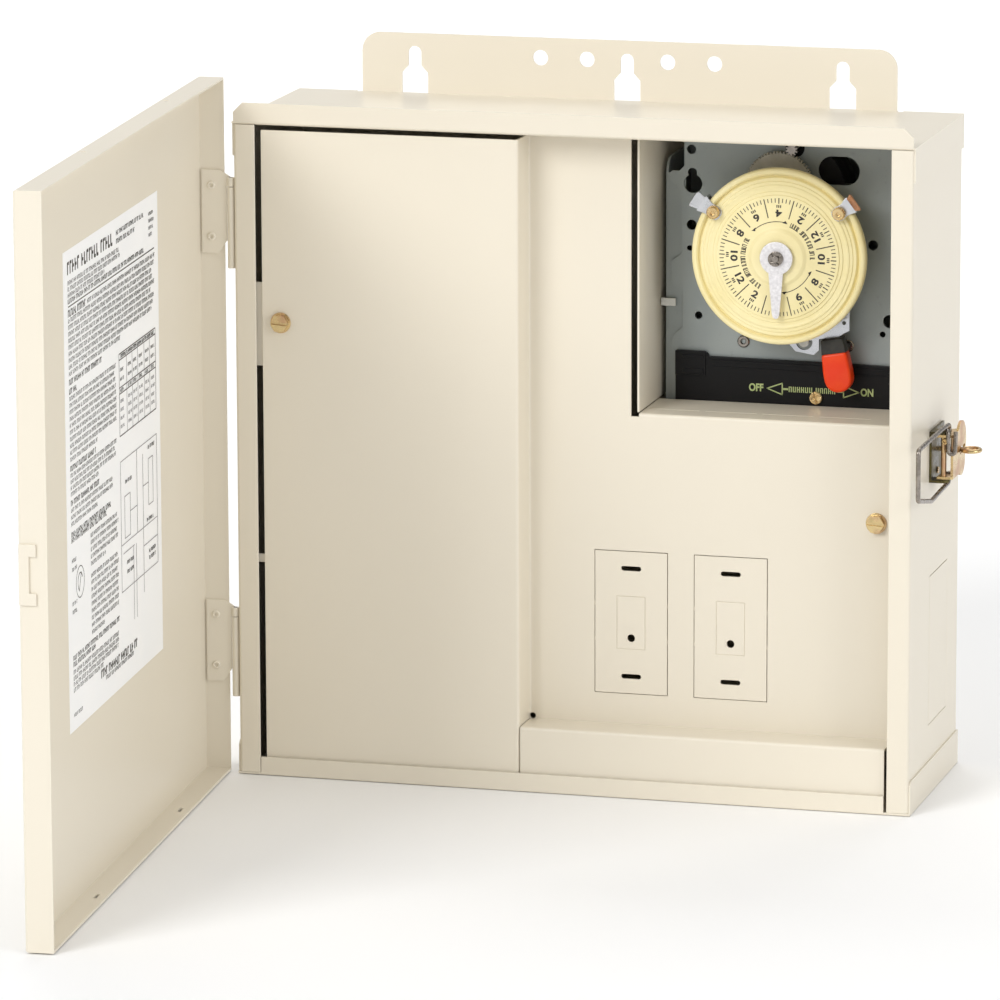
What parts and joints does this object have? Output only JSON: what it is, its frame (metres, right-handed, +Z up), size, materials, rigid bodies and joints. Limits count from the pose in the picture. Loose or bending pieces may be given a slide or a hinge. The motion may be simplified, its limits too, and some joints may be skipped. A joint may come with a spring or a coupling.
{
  "type": "time switch control panel",
  "caption": "Wall mounted sheet steel panel with a hinged door, a mechanical 24 hour time switch behind a window, device knock-outs and a draw latch.",
  "frame": {"origin": "middle of the box's back face, where it meets the wall", "axes": "+Y into the wall, +Z up, +X to the right seen from the front"},
  "size_m": [0.3606, 0.435, 0.3396],
  "materials": {
    "cream_paint": "smooth beige enamel, semi gloss",
    "paper_label": "printed paper label",
    "bare_zinc": "bright zinc plate",
    "yellow_zinc": "yellow zinc plate",
    "steel_wire": "drawn steel",
    "pointer_metal": "satin aluminium",
    "dial_plastic": "moulded yellow plastic",
    "gear_grey": "grey moulding",
    "red_plastic": "red orange moulding",
    "black_plastic": "black moulding",
    "brass": "machined brass",
    "copper": "coppered screw",
    "aluminium_bar": "extruded bar",
    "core_steel": "laminated steel, varnished",
    "white_nylon": "white moulding"
  },
  "bodies": {
    "enclosure": {"bar_screws": "brass", "bar_standoffs": "black_plastic", "bottom_cap": "cream_paint", "box_body": "cream_paint", "box_leaves": "cream_paint", "dead_front": "cream_paint", "dead_front_screws": "yellow_zinc", "fixed_contact": "bare_zinc", "ground_bar": "aluminium_bar", "insulator": "black_plastic", "latch_base": "yellow_zinc", "latch_pin": "yellow_zinc", "latch_rivets": "yellow_zinc", "left_device_knockout": "cream_paint", "left_screw_bracket": "cream_paint", "left_support_tab": "cream_paint", "motor": "black_plastic", "neutral_bar": "aluminium_bar", "padlock_eye": "yellow_zinc", "plate_clip": "white_nylon", "plate_screws": "bare_zinc", "right_device_knockout": "cream_paint", "right_screw_bracket": "cream_paint", "rocker_stud": "bare_zinc", "side_knockout": "cream_paint", "switch_bracket": "bare_zinc", "switch_plate": "bare_zinc", "terminal_block": "black_plastic", "terminal_screws": "brass", "timer_partition": "cream_paint", "top_cap": "cream_paint", "transformer_coil": "black_plastic", "transformer_core": "core_steel", "transformer_frame": "bare_zinc"},
    "door": {"door_tray": "cream_paint", "door_label": "paper_label", "door_strike": "cream_paint", "door_leaf_rivets": "cream_paint", "door_leaves": "cream_paint", "hinge_pins": "steel_wire"},
    "lever": {"latch_lever": "yellow_zinc"},
    "bail": {"latch_bail": "steel_wire"},
    "arbor": {"dial_arbor": "steel_wire", "pointer": "pointer_metal", "pointer_nut": "steel_wire", "pointer_screw": "steel_wire"},
    "dial": {"dial": "dial_plastic", "dial_gear": "gear_grey"},
    "on_tripper": {"on_tripper": "bare_zinc", "on_tripper_screw": "brass"},
    "off_tripper": {"off_tripper": "copper", "off_tripper_screw": "brass"},
    "idler": {"idler_gear": "gear_grey"},
    "motor_shaft": {"motor_pinion": "steel_wire"},
    "manual_lever": {"lever_arm": "bare_zinc", "stop_roller": "white_nylon", "lever_grip": "red_plastic", "lever_shaft": "bare_zinc", "switch_cam": "black_plastic"},
    "rocker": {"contact_rocker": "black_plastic"}
  },
  "joints": [
    {"name": "door_swing", "type": "hinge", "parent": "enclosure", "child": "door", "pos_m": [-0.1631, -0.1054, 0], "axis": [0, 0, 1], "range_deg": [-64, 85.7]},
    {"name": "latch_throw", "type": "hinge", "parent": "enclosure", "child": "lever", "pos_m": [0.167, -0.064, 0.0055], "axis": [0, 0, -1], "range_deg": [0, 120]},
    {"name": "bail_swing", "type": "hinge", "parent": "lever", "child": "bail", "pos_m": [0.168, -0.057, 0.0055], "axis": [0, 0, 1], "range_deg": [0, 135]},
    {"name": "dial_pull", "type": "slide", "parent": "enclosure", "child": "arbor", "axis": [0, -1, 0], "range_m": [0, 0.0035], "stiffness_N_per_m": 900},
    {"name": "dial_turn", "type": "hinge", "parent": "arbor", "child": "dial", "pos_m": [0.0898, -0.058, 0.0965], "axis": [0, 1, 0], "continuous": true},
    {"name": "on_tripper_set", "type": "hinge", "parent": "dial", "child": "on_tripper", "pos_m": [0.0898, -0.058, 0.0965], "axis": [0, 1, 0], "range_deg": [-45, 45]},
    {"name": "off_tripper_set", "type": "hinge", "parent": "dial", "child": "off_tripper", "pos_m": [0.0898, -0.058, 0.0965], "axis": [0, 1, 0], "range_deg": [-45, 45]},
    {"name": "idler_turn", "type": "hinge", "parent": "enclosure", "child": "idler", "pos_m": [0.08563, -0.051, 0.12621], "axis": [0, 1, 0], "continuous": true},
    {"name": "motor_turn", "type": "hinge", "parent": "enclosure", "child": "motor_shaft", "pos_m": [0.09165, -0.051, 0.1437], "axis": [0, 1, 0], "continuous": true},
    {"name": "lever_throw", "type": "hinge", "parent": "enclosure", "child": "manual_lever", "pos_m": [0.11, -0.058, 0.0745], "axis": [0, 1, 0], "range_deg": [0, 30]},
    {"name": "rocker_tilt", "type": "hinge", "parent": "enclosure", "child": "rocker", "pos_m": [0.079, -0.04, 0.0585], "axis": [0, 1, 0], "range_deg": [0, 12]}
  ],
  "couplings": [
    {"joint": "bail_swing", "follows": "latch_throw", "ratio": 1.1},
    {"joint": "idler_turn", "follows": "dial_turn", "ratio": -6.1429},
    {"joint": "motor_turn", "follows": "dial_turn", "ratio": 39.314},
    {"joint": "rocker_tilt", "follows": "lever_throw", "ratio": 0.4}
  ]
}
